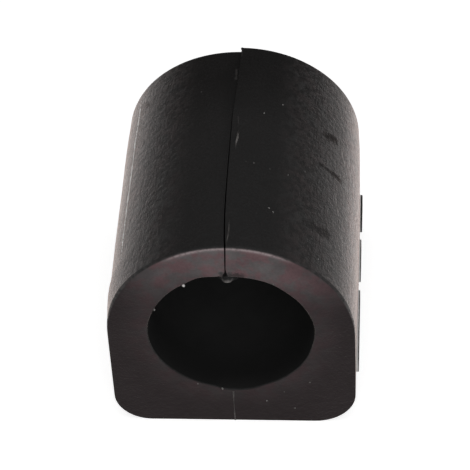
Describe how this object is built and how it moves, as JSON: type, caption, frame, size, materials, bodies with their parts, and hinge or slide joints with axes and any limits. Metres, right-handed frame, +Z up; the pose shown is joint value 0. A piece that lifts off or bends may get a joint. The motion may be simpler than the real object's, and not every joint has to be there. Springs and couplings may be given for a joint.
{
  "type": "sway bar bushing",
  "caption": "Split rubber bushing with a half-round top and a flat base, which holds a stabiliser bar in its bore under a bracket.",
  "frame": {"origin": "on the bore's axis, halfway along the bushing", "axes": "+Y along the bore, +Z up, away from the flat base"},
  "size_m": [0.043, 0.0488, 0.0459],
  "materials": {
    "moulded_rubber": "matt moulded skin with a thin bloom, scuffs and dust"
  },
  "bodies": {
    "root": {"bushing": "moulded_rubber"}
  },
  "joints": []
}
